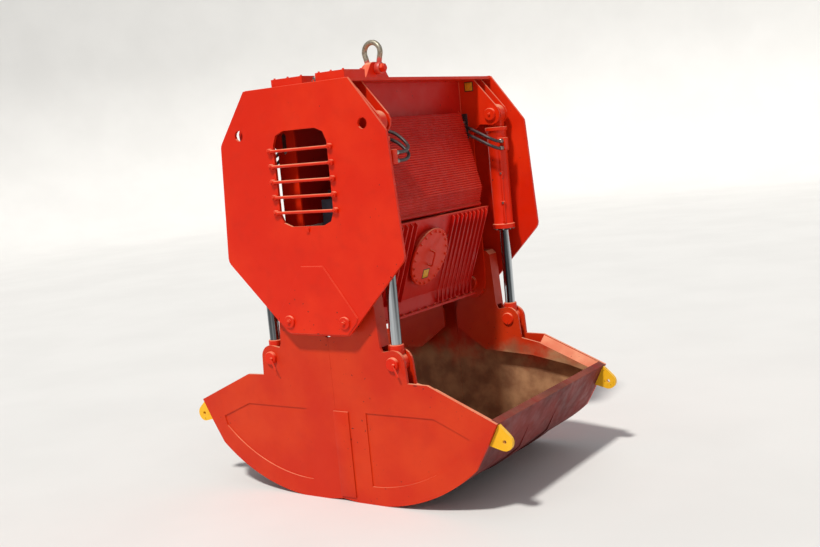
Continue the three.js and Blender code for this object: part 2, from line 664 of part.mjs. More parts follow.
// Yellow lug on the back of the lip plate.
function cornerLug() {
  const lipDirection = new THREE.Vector2(LIP_TOP[0] - LIP_LOW[0], LIP_TOP[1] - LIP_LOW[1]).normalize();
  const offLip = ([x, z], along) => [
    x + lipDirection.x * along + lipDirection.y * GAP, z + lipDirection.y * along - lipDirection.x * GAP,
  ];
  const outline = [offLip(LIP_LOW, 6), ...arc(1278, 516, 58, -100, 48, 7), offLip(LIP_TOP, -8)];
  return plateAcrossY(outline, [768, 794], [circleAround(1280, 516, 13, 12)]);
}

function lowerPin() {
  const inner = CHEEK_Y[0] - GAP;
  const outer = SIDE_FACE_Y + GAP;
  return turnedAlongY([
    [0, inner - 14], [44, inner - 14], [44, inner], [LOWER_PIN_RADIUS, inner],
    [LOWER_PIN_RADIUS, outer], [44, outer], [44, outer + 22], [0, outer + 22],
  ], CYLINDER_X, LOWER_PIN_Z, PIN_SIDES);
}

for (const [side, signX] of SIDES) {
  const shell = new THREE.Group();
  shell.name = `${side}_shell`;
  grab.add(shell);
  addPart(shell, `${side}_shell_wrapper`, inCorner(shellWrapper(), signX, 1), redPaint);
  for (const [end, signY] of ENDS) {
    addPart(shell, `${side}_${end}_side_plate`, inCorner(sidePlate(signX > 0), signX, signY), redPaint);
    addPart(shell, `${side}_${end}_arm_cheek`, inCorner(armCheek(), signX, signY), redPaint);
    addPart(shell, `${side}_${end}_corner_lug`, inCorner(cornerLug(), signX, signY), yellowPaint);
    addPart(shell, `${side}_${end}_lower_pin`, inCorner(lowerPin(), signX, signY), redPaint);
  }
}

// ---------- hydraulic cylinders ----------

// Barrel with its top eye, end flanges, port block and the pipe to the rod end.
function barrel() {
  const tube = turned([
    [0, BARREL_TOP_Z], [84, BARREL_TOP_Z], [84, BARREL_TOP_Z - 26], [BARREL_RADIUS, BARREL_TOP_Z - 26],
    [BARREL_RADIUS, GLAND_Z[1]], [84, GLAND_Z[1]], [84, GLAND_Z[0]], [ROD_RADIUS + 0.6, GLAND_Z[0]],
    [ROD_RADIUS + 0.6, GLAND_Z[1] + 30], [BARREL_BORE, GLAND_Z[1] + 30], [BARREL_BORE, BARREL_TOP_Z - 60],
    [0, BARREL_TOP_Z - 60],
  ].reverse());
  tube.translate(CYLINDER_X, CYLINDER_Y, 0);
  const eyeY = [CYLINDER_Y - EYE_HALF_WIDTH, CYLINDER_Y + EYE_HALF_WIDTH];
  const eyeOutline = [[CYLINDER_X - 56, BARREL_TOP_Z - 2], [CYLINDER_X + 56, BARREL_TOP_Z - 2],
    ...arc(CYLINDER_X, TOP_PIN_Z, 72, -38, 218, 9)];
  const eye = plateAcrossY(eyeOutline, eyeY, [circleAround(CYLINDER_X, TOP_PIN_Z, TOP_PIN_RADIUS + PIN_GAP)]);
  const portBlock = block([556, 624], [698, 752], [2248, 2342]);
  const pipe = turned([[0, 1712], [10, 1712], [10, 2260], [0, 2260]], 6);
  pipe.translate(566, 707, 0);
  const pipeFoot = block([548, 574], [700, 730], [1702, 1726]);
  return joined(tube, eye, portBlock, pipe, pipeFoot);
}

// Chromed rod with its piston inside the barrel.
function rod() {
  const piston = turned([
    [0, ROD_END_Z], [ROD_RADIUS - 4, ROD_END_Z], [ROD_RADIUS, ROD_END_Z + 4], [ROD_RADIUS, 1750],
    [BARREL_BORE - 0.6, 1750], [BARREL_BORE - 0.6, 1810], [0, 1810],
  ]);
  piston.translate(CYLINDER_X, CYLINDER_Y, 0);
  return piston;
}

// Rod eye on the lower pin, with the neck that the rod screws into.
function rodEye() {
  const eye = turnedAlongY([
    [LOWER_PIN_RADIUS + PIN_GAP + 0.3, CYLINDER_Y - EYE_HALF_WIDTH], [66, CYLINDER_Y - EYE_HALF_WIDTH],
    [66, CYLINDER_Y + EYE_HALF_WIDTH], [LOWER_PIN_RADIUS + PIN_GAP + 0.3, CYLINDER_Y + EYE_HALF_WIDTH],
    [LOWER_PIN_RADIUS + PIN_GAP + 0.3, CYLINDER_Y - EYE_HALF_WIDTH],
  ], CYLINDER_X, LOWER_PIN_Z);
  const neck = turned([[0, LOWER_PIN_Z + 45], [33, LOWER_PIN_Z + 45], [33, NECK_TOP_Z], [0, NECK_TOP_Z]]);
  neck.translate(CYLINDER_X, CYLINDER_Y, 0);
  return joined(eye, neck);
}

forEachCorner((corner, signX, signY) => {
  const cylinder = new THREE.Group();
  cylinder.name = `${corner}_cylinder`;
  grab.add(cylinder);
  addPart(cylinder, `${corner}_barrel`, inCorner(barrel(), signX, signY), redPaint);
  addPart(cylinder, `${corner}_rod`, inCorner(rod(), signX, signY), chrome);
  addPart(cylinder, `${corner}_rod_eye`, inCorner(rodEye(), signX, signY), redPaint);
});

export default grab;
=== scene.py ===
import math
import bpy
import bmesh
from mathutils import Matrix, Vector


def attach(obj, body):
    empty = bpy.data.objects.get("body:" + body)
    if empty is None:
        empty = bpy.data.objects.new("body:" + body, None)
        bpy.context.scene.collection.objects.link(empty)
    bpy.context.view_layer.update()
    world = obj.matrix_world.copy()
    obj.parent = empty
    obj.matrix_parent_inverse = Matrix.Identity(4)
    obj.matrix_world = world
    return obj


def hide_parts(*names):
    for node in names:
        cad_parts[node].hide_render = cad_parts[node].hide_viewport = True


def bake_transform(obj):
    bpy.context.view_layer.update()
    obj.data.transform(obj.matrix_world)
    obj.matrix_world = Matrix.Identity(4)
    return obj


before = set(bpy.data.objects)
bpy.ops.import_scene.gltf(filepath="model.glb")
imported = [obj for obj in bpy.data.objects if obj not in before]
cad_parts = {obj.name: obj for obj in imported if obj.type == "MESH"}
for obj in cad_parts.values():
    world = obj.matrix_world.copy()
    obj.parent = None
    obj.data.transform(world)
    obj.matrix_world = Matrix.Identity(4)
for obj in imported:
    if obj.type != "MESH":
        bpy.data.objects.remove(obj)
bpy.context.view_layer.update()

# ---------- camera ----------
# A normal-lens view from the near right, a little above the shells, with the frame rolled slightly.
camera_data = bpy.data.cameras.new("camera")
camera_data.sensor_width = 36.0
camera_data.lens = 46.4
camera_at = Vector((4.457, -6.208, 2.405))
camera = bpy.data.objects.new("camera", camera_data)
bpy.context.scene.collection.objects.link(camera)
azimuth, down, roll = math.radians(34.77), math.radians(7.29), math.radians(-5.35)
look = Vector((-math.sin(azimuth) * math.cos(down), math.cos(azimuth) * math.cos(down), -math.sin(down)))
level = Vector((math.cos(azimuth), math.sin(azimuth), 0.0))
upright = level.cross(look)
camera_right = math.cos(roll) * level + math.sin(roll) * upright
camera_up = -math.sin(roll) * level + math.cos(roll) * upright
camera.matrix_world = Matrix((
    (camera_right.x, camera_up.x, -look.x, camera_at.x),
    (camera_right.y, camera_up.y, -look.y, camera_at.y),
    (camera_right.z, camera_up.z, -look.z, camera_at.z),
    (0, 0, 0, 1),
))
bpy.context.scene.camera = camera


# ---------- red paint of the head frame ----------
# Orange-red two-pack machinery paint sprayed over welded plate. It has a faint orange-peel surface,
# sun-faded patches, pale dust and painted sunlight on upward faces, and small chips down to a dark primer.
def linear(code):
    channels = [int(code[i:i + 2], 16) / 255 for i in (1, 3, 5)]
    return [c / 12.92 if c <= 0.04045 else ((c + 0.055) / 1.055) ** 2.4 for c in channels] + [1.0]


def add(tree, kind, settings=None, **links):
    node = tree.nodes.new("ShaderNode" + kind)
    for key, value in (settings or {}).items():
        setattr(node, key, value)
    for key, value in links.items():
        socket = node.inputs[int(key[1:])] if key[1:].isdigit() else node.inputs[key.replace("_", " ")]
        if isinstance(value, bpy.types.NodeSocket):
            tree.links.new(value, socket)
        else:
            socket.default_value = value
    return node


def new_material(name):
    material = bpy.data.materials.new(name)
    material.use_nodes = True
    tree = material.node_tree
    tree.nodes.clear()
    surface = tree.nodes.new("ShaderNodeBsdfPrincipled")
    output = tree.nodes.new("ShaderNodeOutputMaterial")
    tree.links.new(surface.outputs[0], output.inputs[0])
    return material, tree, surface


def noise(tree, scale, detail=4.0, rough=0.55):
    coords = add(tree, "TexCoord")
    return add(tree, "TexNoise", Vector=coords.outputs["Object"], Scale=scale, Detail=detail,
               Roughness=rough).outputs["Fac"]


def band(tree, value, low, high, to_low=0.0, to_high=1.0):
    node = add(tree, "MapRange", {"interpolation_type": "SMOOTHSTEP"}, i0=value)
    for index, number in zip((1, 2, 3, 4), (low, high, to_low, to_high)):
        node.inputs[index].default_value = number
    return node.outputs[0]


def times(tree, a, b):
    return add(tree, "Math", {"operation": "MULTIPLY"}, i0=a, i1=b).outputs[0]


def mixed(tree, share, first, second):
    node = add(tree, "Mix", {"data_type": "RGBA"}, i0=share)
    for index, value in ((6, first), (7, second)):
        if isinstance(value, bpy.types.NodeSocket):
            tree.links.new(value, node.inputs[index])
        else:
            node.inputs[index].default_value = value
    return node.outputs[2]


def upward(tree):
    coords = add(tree, "TexCoord")
    split = add(tree, "SeparateXYZ", i0=coords.outputs["Normal"])
    return band(tree, split.outputs[2], 0.25, 0.95)


def paint(name, colour, faded, dust_and_top_light, dust_and_top_light_share=0.35, chip=0.70, shade="#A8200F"):
    material, tree, surface = new_material(name)
    body = mixed(tree, band(tree, noise(tree, 1.7, 5), 0.38, 0.68), linear(colour), linear(faded))
    body = mixed(tree, times(tree, band(tree, noise(tree, 9.0, 6), 0.48, 0.75), 0.14), body, linear(shade))
    # Upward faces lighten towards the pale tint: thin dust, and painted sunlight on the tops.
    settled_dust_and_top_light = times(tree, upward(tree), band(tree, noise(tree, 5.0, 6), 0.30, 0.75, 0.45, 1.0))
    body = mixed(tree, times(tree, settled_dust_and_top_light, dust_and_top_light_share), body, linear(dust_and_top_light))
    chips = times(tree, band(tree, noise(tree, 42.0, 3, 0.5), chip, chip + 0.015),
                  band(tree, noise(tree, 3.1, 3), 0.50, 0.58))
    body = mixed(tree, chips, body, linear("#4A1F1B"))
    tree.links.new(body, surface.inputs["Base Color"])
    tree.links.new(band(tree, noise(tree, 14.0, 5), 0.3, 0.7, 0.33, 0.52), surface.inputs["Roughness"])
    surface.inputs["IOR"].default_value = 1.5
    surface.inputs["Specular IOR Level"].default_value = 0.18
    surface.inputs["Coat Weight"].default_value = 0.05
    surface.inputs["Coat Roughness"].default_value = 0.25
    peel = add(tree, "Bump", Height=noise(tree, 230.0, 2), Strength=0.06, Distance=0.001)
    dents = add(tree, "Bump", Height=noise(tree, 3.5, 2), Strength=0.12, Distance=0.006,
                Normal=peel.outputs[0])
    tree.links.new(dents.outputs[0], surface.inputs["Normal"])
    return material


red_paint = paint("red_machinery_paint", "#D42205", "#DE2F0C", "#F9B790", 0.85)
for name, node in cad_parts.items():
    if node.data.materials:
        node.data.materials[0] = red_paint
    else:
        node.data.materials.append(red_paint)

# The tank, the recessed panels and the ribbed covers get a darker copy of the same red paint: painted shade
# for these faces turned from the sun.
shaded_cover_paint = paint("red_paint_painted_shade", "#C2140C", "#C91F12", "#E88A66", 0.35)
for name in ("oil_tank", "right_ribbed_cover", "left_ribbed_cover", "right_front_panel", "left_front_panel"):
    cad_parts[name].data.materials[0] = shaded_cover_paint

# ---------- yellow corner lugs ----------
# Flame-cut lugs at the outer corners of the shells, painted yellow so that the tag lines are found.
yellow_paint = paint("yellow_lug_paint", "#EFB31E", "#F3C13C", "#EAD9A0", 0.3, 0.66, "#C98F1C")
for name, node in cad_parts.items():
    if name.endswith("_corner_lug"):
        node.data.materials[0] = yellow_paint

# ---------- shells ----------
# Inside, the load has scoured the paint to a dull, sand-coloured coat with bare streaks along the arc.
# Outside, the curved plate is the same red paint painted darker, as painted shade, with a random mottle.


HINGE_X = 0.233
HINGE_Z = 1.257004


def worn_coat(tree, scale):
    return mixed(tree, band(tree, noise(tree, scale, 7), 0.35, 0.65), linear("#B98E68"), linear("#8C6247"))


def principled(material):
    return next(n for n in material.node_tree.nodes if n.type == "BSDF_PRINCIPLED")


def scoured(name, sign):
    material, tree, surface = new_material(name)
    coords = add(tree, "TexCoord")
    hub = (sign * HINGE_X, 0.0, HINGE_Z)
    away = add(tree, "VectorMath", {"operation": "SUBTRACT"}, i0=coords.outputs["Object"], i1=hub)
    flat = add(tree, "VectorMath", {"operation": "MULTIPLY"}, i0=away.outputs[0], i1=(1.0, 0.0, 1.0))
    facing = add(tree, "VectorMath", {"operation": "DOT_PRODUCT"}, i0=flat.outputs[0],
                 i1=coords.outputs["Normal"])
    inside = band(tree, facing.outputs["Value"], -0.3, -0.1, 1.0, 0.0)
    # Outer faces: the red paint darkened as painted shade, mottled at random.
    outer_painted_shade = mixed(tree, band(tree, noise(tree, 2.5, 6), 0.35, 0.7), linear("#7C1913"), linear("#501211"))
    worn = worn_coat(tree, 4.0)
    stretched = add(tree, "VectorMath", {"operation": "MULTIPLY"}, i0=coords.outputs["Object"],
                    i1=(2.0, 26.0, 2.0))
    streak = add(tree, "TexNoise", Vector=stretched.outputs[0], Scale=1.0, Detail=6.0)
    worn = mixed(tree, band(tree, streak.outputs["Fac"], 0.55, 0.72), worn, linear("#A63A26"))
    tree.links.new(mixed(tree, inside, outer_painted_shade, worn), surface.inputs["Base Color"])
    tree.links.new(band(tree, noise(tree, 11.0, 5), 0.3, 0.7, 0.5, 0.78), surface.inputs["Roughness"])
    surface.inputs["IOR"].default_value = 1.5
    grain = add(tree, "Bump", Height=noise(tree, 120.0, 4), Strength=0.22, Distance=0.0015)
    tree.links.new(grain.outputs[0], surface.inputs["Normal"])
    return material


# Low on the side plates and cheeks, only the faces that look into the shell are scoured.
def scour_inner_faces(material):
    tree = material.node_tree
    surface = principled(material)
    painted = surface.inputs["Base Color"].links[0].from_socket
    coords = add(tree, "TexCoord")
    place = add(tree, "SeparateXYZ", i0=coords.outputs["Object"])
    normal = add(tree, "SeparateXYZ", i0=coords.outputs["Normal"])
    inward = times(tree, place.outputs[1], normal.outputs[1])
    height = add(tree, "Math", {"operation": "ADD"}, i0=place.outputs[2],
                 i1=band(tree, noise(tree, 3.0, 6), 0.3, 0.7, -0.10, 0.10))
    share = times(tree, band(tree, inward, -0.6, -0.3, 1.0, 0.0),
                  band(tree, height.outputs[0], 0.62, 0.84, 1.0, 0.0))
    tree.links.new(mixed(tree, share, painted, worn_coat(tree, 5.0)), surface.inputs["Base Color"])
    return material


shell_paint = paint("red_paint_scoured_inside", "#C4280C", "#CE3812", "#F9B790", 0.85)
inner_worn_paint = scour_inner_faces(shell_paint)
for name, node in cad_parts.items():
    if name.endswith("_arm_cheek"):
        node.data.materials[0] = inner_worn_paint

# ---------- bare metals, enamel and rubber ----------
# Ground chrome on the piston rods, its light and dark bands painted reflections, zinc on small bolts, dark
# enamel on the motor, pump and valves.


def metal(name, light, dark, rough_low, rough_high, stretch, metallic=1.0, ior=1.5):
    material, tree, surface = new_material(name)
    coords = add(tree, "TexCoord")
    # The stretched noise is random grain on most of these metals; on the chrome its light and dark bands are
    # painted reflections.
    along = add(tree, "VectorMath", {"operation": "MULTIPLY"}, i0=coords.outputs["Object"], i1=stretch)
    grain_and_painted_reflections = add(tree, "TexNoise", Vector=along.outputs[0], Scale=1.0, Detail=7.0).outputs["Fac"]
    tree.links.new(mixed(tree, band(tree, grain_and_painted_reflections, 0.35, 0.68), linear(light), linear(dark)),
                   surface.inputs["Base Color"])
    surface.inputs["Metallic"].default_value = metallic
    surface.inputs["IOR"].default_value = ior
    tree.links.new(band(tree, grain_and_painted_reflections, 0.3, 0.7, rough_low, rough_high), surface.inputs["Roughness"])
    bump = add(tree, "Bump", Height=grain_and_painted_reflections, Strength=0.05, Distance=0.0004)
    tree.links.new(bump.outputs[0], surface.inputs["Normal"])
    return material


# Chrome: light and dark bands along the rod in the base colour, as painted reflections.
chrome = metal("hard_chrome_painted_reflections", "#B9BEC2", "#15191E", 0.06, 0.15, (30.0, 30.0, 0.4), 1.0, 2.9)
enamel = metal("dark_enamel", "#2A2E38", "#1B1E26", 0.35, 0.55, (18.0, 18.0, 18.0), 0.0)
rubber = metal("hose_cover_rubber", "#2B2526", "#43393A", 0.34, 0.52, (90.0, 90.0, 90.0), 0.0, 1.52)
zinc_bolt = metal("zinc_plated_bolts", "#A9A79F", "#77756F", 0.30, 0.50, (60.0, 60.0, 60.0), 0.9, 2.0)
for name in ("motor", "pump", "valve_block"):
    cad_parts[name].data.materials[0] = enamel

# ---------- piston rods ----------
# Hard-chromed round bars, ground and polished. Each carries its piston inside the barrel.
SIDES = (("right", 1), ("left", -1))
ENDS = (("near", -1), ("far", 1))
CORNERS = [(side, end, sx, sy) for side, sx in SIDES for end, sy in ENDS]
ROD_X = 0.520
ROD_Y = 0.764


def finish_piece(name, bm, material, body, sharp=32):
    bmesh.ops.recalc_face_normals(bm, faces=bm.faces)
    mesh = bpy.data.meshes.new(name)
    bm.to_mesh(mesh)
    bm.free()
    mesh.materials.append(material)
    mesh.shade_smooth()
    mesh.set_sharp_from_angle(angle=math.radians(sharp))
    piece = bpy.data.objects.new(name, mesh)
    bpy.context.scene.collection.objects.link(piece)
    if body:
        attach(piece, body)
    return piece


def turned(bm, profile, at, out, sides=48):
    part = bmesh.new()
    verts = [part.verts.new((r, 0.0, z)) for r, z in profile]
    edges = [part.edges.new(pair) for pair in zip(verts, verts[1:])]
    bmesh.ops.spin(part, geom=verts + edges, cent=(0, 0, 0), axis=(0, 0, 1), dvec=(0, 0, 0),
                   angle=2 * math.pi, steps=sides, use_merge=True)
    bmesh.ops.remove_doubles(part, verts=part.verts, dist=1e-6)
    turn = Vector(out).to_track_quat("Z", "Y").to_matrix().to_4x4()
    bmesh.ops.transform(part, matrix=Matrix.Translation(at) @ turn, verts=part.verts)
    held = bpy.data.meshes.new("part")
    part.to_mesh(held)
    part.free()
    bm.from_mesh(held)
    bpy.data.meshes.remove(held)


def disc(bm, at, out, radius, thick, edge=0.0015, sides=48):
    rim = [(radius, 0), (radius, thick - edge), (radius - edge, thick)]
    turned(bm, [(0, 0)] + rim + [(0, thick)], at, out, sides)


for side, end, sx, sy in CORNERS:
    corner = f"{side}_{end}"
    bm = bmesh.new()
    turned(bm, [(0, 1.078), (0.0345, 1.078), (0.037, 1.0805), (0.037, 1.75), (0.0594, 1.75), (0.0594, 1.81),
                (0, 1.81)],
           (sx * ROD_X, sy * ROD_Y, 0.0), (0, 0, 1), 64)
    rod = finish_piece(f"{corner}_polished_rod", bm, chrome, f"{corner}_rod_body")
    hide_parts(f"{corner}_rod")

# ---------- cylinder barrels ----------
# Honed tube with welded end flanges, a forged top eye, a port block and a steel pipe to the rod end.
# The gland is a bolted ring with a dust wiper below it.


TOP_PIN_Z = 2.522
CLIP_HEIGHTS = (1.86, 2.08)


def slab(bm, low, high, edge=0.003):
    made = bmesh.ops.create_cube(bm, size=1.0)["verts"]
    size = [abs(b - a) for a, b in zip(low, high)]
    middle = [(a + b) / 2 for a, b in zip(low, high)]
    bmesh.ops.scale(bm, vec=size, verts=made)
    bmesh.ops.translate(bm, vec=middle, verts=made)
    if edge:
        edges = list({e for v in made for e in v.link_edges})
        bmesh.ops.bevel(bm, geom=edges, offset=edge, affect="EDGES", segments=2, profile=0.5, material=-1)


def bolt(bm, at, out, across=0.018):
    out = Vector(out).normalized()
    disc(bm, Vector(at), out, across * 0.92, across * 0.14, 0.0005, 20)
    disc(bm, Vector(at) + out * across * 0.14, out, across * 0.577, across * 0.6, across * 0.08, 6)


for side, end, sx, sy in CORNERS:
    corner = f"{side}_{end}"
    at = (sx * ROD_X, sy * ROD_Y, 0.0)
    bm = bmesh.new()
    gland = [(0.0376, 1.700), (0.0376, 1.668), (0.046, 1.666), (0.082, 1.666), (0.084, 1.668),
             (0.084, 1.698), (0.082, 1.700), (0.0755, 1.702)]
    tube_wall = [(0.072, 1.708), (0.072, 2.390)]
    head_flange = [(0.0755, 2.396), (0.082, 2.398), (0.084, 2.400), (0.084, 2.422), (0.082, 2.424),
                   (0, 2.424)]
    bore = [(0, 2.364), (0.060, 2.364), (0.060, 1.730), (0.0376, 1.730), (0.0376, 1.700)]
    turned(bm, gland + tube_wall + head_flange + bore, at, (0, 0, 1), 64)
    turned(bm, [(0.0325, -0.034), (0.070, -0.034), (0.072, -0.032), (0.072, 0.032), (0.070, 0.034),
                (0.0325, 0.034), (0.0325, -0.034)], (sx * ROD_X, sy * ROD_Y, TOP_PIN_Z), (0, 1, 0), 56)
    slab(bm, (sx * 0.464, sy * 0.732, 2.420), (sx * 0.576, sy * 0.796, 2.478), 0.008)
    slab(bm, (sx * 0.556, sy * 0.698, 2.248), (sx * 0.624, sy * 0.752, 2.342), 0.005)
    turned(bm, [(0, 1.704), (0.010, 1.704), (0.010, 2.262), (0, 2.262)],
           (sx * 0.566, sy * 0.707, 0), (0, 0, 1), 20)
    slab(bm, (sx * 0.546, sy * 0.699, 1.702), (sx * 0.576, sy * 0.732, 1.728), 0.004)
    for z in CLIP_HEIGHTS:
        slab(bm, (sx * 0.548, sy * 0.695, z - 0.012), (sx * 0.582, sy * 0.712, z + 0.012), 0.003)
    barrel = finish_piece(f"{corner}_painted_barrel", bm, red_paint, f"{corner}_barrel_body")
    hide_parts(f"{corner}_barrel")
    bm = bmesh.new()
    for k in range(8):
        angle = math.pi * (k + 0.5) / 4
        bolt(bm, (at[0] + 0.071 * math.cos(angle), at[1] + 0.071 * math.sin(angle), 1.666), (0, 0, -1), 0.013)
    for z in CLIP_HEIGHTS:
        bolt(bm, (sx * 0.566, sy * 0.695, z), (0, -sy, 0), 0.010)
    finish_piece(f"{corner}_gland_bolts", bm, zinc_bolt, f"{corner}_barrel_body")
    bm = bmesh.new()
    turned(bm, [(0.0378, 1.652), (0.047, 1.652), (0.050, 1.656), (0.050, 1.6655), (0.0378, 1.6655),
                (0.0378, 1.652)], at, (0, 0, 1), 48)
    finish_piece(f"{corner}_wiper_seal", bm, rubber, f"{corner}_barrel_body")

# ---------- rod eyes ----------
# Forged eyes on the lower pins. A threaded collar locks each eye to its rod.
LOWER_PIN_Z = 0.976
for side, end, sx, sy in CORNERS:
    corner = f"{side}_{end}"
    bm = bmesh.new()
    turned(bm, [(0.0308, -0.034), (0.063, -0.034), (0.066, -0.031), (0.066, 0.031), (0.063, 0.034),
                (0.0308, 0.034), (0.0308, -0.034)], (sx * ROD_X, sy * ROD_Y, LOWER_PIN_Z), (0, 1, 0), 56)
    turned(bm, [(0, 1.030), (0.046, 1.030), (0.048, 1.034), (0.048, 1.092), (0.044, 1.096), (0.0385, 1.096),
                (0.0385, 1.0765), (0, 1.0765)], (sx * ROD_X, sy * ROD_Y, 0), (0, 0, 1), 48)
    eye = finish_piece(f"{corner}_forged_eye", bm, red_paint, f"{corner}_eye_body")
    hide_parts(f"{corner}_rod_eye")

# ---------- pins ----------
# Turned pin ends with a bevelled rim. A centre bolt or a cross pin stops each one from working out.
for side, end, sx, sy in CORNERS:
    corner = f"{side}_{end}"
    bm = bmesh.new()
    disc(bm, (sx * HINGE_X, sy * 0.9125, HINGE_Z), (0, sy, 0), 0.0415, 0.0135, 0.003)
    disc(bm, (sx * ROD_X, sy * 0.694, TOP_PIN_Z), (0, -sy, 0), 0.0455, 0.0195, 0.004)
    disc(bm, (sx * HINGE_X, sy * 0.694, HINGE_Z), (0, -sy, 0), 0.0515, 0.0275, 0.004)
    finish_piece(f"{corner}_head_pin_ends", bm, red_paint, "head")
    bm = bmesh.new()
    bolt(bm, (sx * HINGE_X, sy * 0.926, HINGE_Z), (0, sy, 0), 0.020)
    bolt(bm, (sx * ROD_X, sy * 0.6745, TOP_PIN_Z), (0, -sy, 0), 0.016)
    finish_piece(f"{corner}_head_pin_bolts", bm, red_paint, "head")
    bm = bmesh.new()
    disc(bm, (sx * ROD_X, sy * 0.8215, LOWER_PIN_Z), (0, sy, 0), 0.0455, 0.0235, 0.005)
    disc(bm, (sx * ROD_X, sy * 0.7115, LOWER_PIN_Z), (0, -sy, 0), 0.0455, 0.0150, 0.004)
    turned(bm, [(0, 0), (0.006, 0.001), (0.006, 0.078), (0, 0.079)],
           (sx * ROD_X + 0.018, sy * 0.852, 0.968), (0.45, sy * 0.05, -0.89), 16)
    disc(bm, (sx * ROD_X + 0.018, sy * 0.845, 0.972), (0, sy, 0), 0.011, 0.012, 0.002, 20)
    finish_piece(f"{corner}_lower_pin_ends", bm, red_paint, f"{side}_shell")

# ---------- window guards ----------
# Round steel bars bolted over each end window by flattened ends.
GUARD_BAR_HEIGHTS = (1.991, 2.093, 2.195, 2.297, 2.399)
for end, sy in ENDS:
    bars, bolts = bmesh.new(), bmesh.new()
    for z in GUARD_BAR_HEIGHTS:
        turned(bars, [(0, -0.238), (0.0102, -0.236), (0.0102, 0.236), (0, 0.238)],
               (0, sy * 0.919, z), (1, 0, 0), 24)
        for x in (-0.252, 0.252):
            disc(bars, (x, sy * 0.9045, z), (0, sy, 0), 0.0195, 0.0225, 0.003, 32)
            bolt(bolts, (x, sy * 0.927, z), (0, sy, 0), 0.013)
    finish_piece(f"{end}_guard_bars", bars, red_paint, "head")
    finish_piece(f"{end}_guard_bolts", bolts, red_paint, "head")

# ---------- manhole cover ----------
# Round blank flange bolted on the tank's neck all round its rim, lifted by a bent-bar handle.


def tube(bm, points, radius, sides=12):
    curve = bpy.data.curves.new("route", "CURVE")
    curve.dimensions = "3D"
    curve.bevel_depth = radius
    curve.bevel_resolution = max(1, sides // 4)
    curve.use_fill_caps = True
    spline = curve.splines.new("POLY")
    spline.points.add(len(points) - 1)
    for point, place in zip(spline.points, points):
        point.co = (*place, 1.0)
    holder = bpy.data.objects.new("route", curve)
    swept = bpy.data.meshes.new_from_object(holder)
    bm.from_mesh(swept)
    bpy.data.meshes.remove(swept)
    bpy.data.objects.remove(holder)
    bpy.data.curves.remove(curve)


def rounded_route(points, radius, steps=6):
    route = [Vector(points[0])]
    for before, corner_at, after in zip(points, points[1:], points[2:]):
        before, corner_at, after = Vector(before), Vector(corner_at), Vector(after)
        start = corner_at + (before - corner_at).normalized() * radius
        stop = corner_at + (after - corner_at).normalized() * radius
        for k in range(steps + 1):
            t = k / steps
            route.append((1 - t) ** 2 * start + 2 * t * (1 - t) * corner_at + t * t * stop)
    route.append(Vector(points[-1]))
    return route


lean = math.atan2(0.210, 0.552)
out_of_face = Vector((math.cos(lean), 0, -math.sin(lean)))
up_face = Vector((math.sin(lean), 0, math.cos(lean)))
cover_at = Vector((0.4046, -0.176, 1.596))


def on_cover(across, along, off):
    return cover_at + Vector((0, across, 0)) + up_face * along + out_of_face * off


bm = bmesh.new()
turned(bm, [(0, 0.0343), (0.209, 0.0343), (0.210, 0.0355), (0.210, 0.0470), (0.2065, 0.0503), (0, 0.0503)],
       cover_at, out_of_face, 96)
tube(bm, rounded_route([on_cover(-0.012, -0.052, 0.049), on_cover(-0.012, -0.052, 0.088),
                        on_cover(-0.012, 0.052, 0.088), on_cover(-0.012, 0.052, 0.049)], 0.018), 0.007, 16)
cover = finish_piece("bolted_manhole_cover", bm, red_paint, "head")
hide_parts("manhole_cover")
bm = bmesh.new()
COVER_BOLTS = 20
BOLT_CIRCLE = 0.190
for k in range(COVER_BOLTS):
    angle = 2 * math.pi * k / COVER_BOLTS
    seat = on_cover(BOLT_CIRCLE * math.cos(angle), BOLT_CIRCLE * math.sin(angle), 0.0503)
    bolt(bm, seat, out_of_face, 0.014)
finish_piece("manhole_bolts", bm, red_paint, "head")

# ---------- warning labels ----------
# Two small printed-vinyl labels with no words on them: a yellow field in a dark border.


def vinyl(name, light, dark):
    material, tree, surface = new_material(name)
    tree.links.new(mixed(tree, band(tree, noise(tree, 60.0, 5), 0.40, 0.75), linear(light), linear(dark)),
                   surface.inputs["Base Color"])
    tree.links.new(band(tree, noise(tree, 25.0, 4), 0.3, 0.7, 0.38, 0.6), surface.inputs["Roughness"])
    surface.inputs["IOR"].default_value = 1.48
    return material


yellow_vinyl = vinyl("yellow_label_vinyl", "#E8A91C", "#B8801C")
black_vinyl = vinyl("black_label_vinyl", "#1E1B1A", "#332B27")
bm = bmesh.new()
slab(bm, (0.318, 0.6915, 2.705), (0.392, 0.6938, 2.776), 0.0006)
finish_piece("plate_label_border", bm, black_vinyl, "head")
bm = bmesh.new()
slab(bm, (0.324, 0.6908, 2.711), (0.386, 0.6920, 2.770), 0.0004)
finish_piece("plate_label_field", bm, yellow_vinyl, "head")
for name, grow, off, finish in (("border", 0.006, 0.0506, black_vinyl), ("field", 0.0, 0.0512, yellow_vinyl)):
    bm = bmesh.new()
    slab(bm, (-0.032 - grow, -0.029 - grow, 0), (0.032 + grow, 0.029 + grow, 0.0008), 0.0003)
    turn = Matrix((
        (0, up_face.x, out_of_face.x),
        (1, up_face.y, out_of_face.y),
        (0, up_face.z, out_of_face.z),
    )).to_4x4()
    place = Matrix.Translation(on_cover(-0.014, -0.118, off)) @ turn
    bmesh.ops.transform(bm, matrix=place, verts=bm.verts)
    finish_piece(f"cover_label_{name}", bm, finish, "head")

# ---------- hydraulic hoses ----------
# Wire-braided hoses with a rubber cover, each with a swaged steel ferrule at both ends and a swivel nut at
# the port end.
# They leave through an oval outlet in the inner plate and run between the head and the swinging barrel.


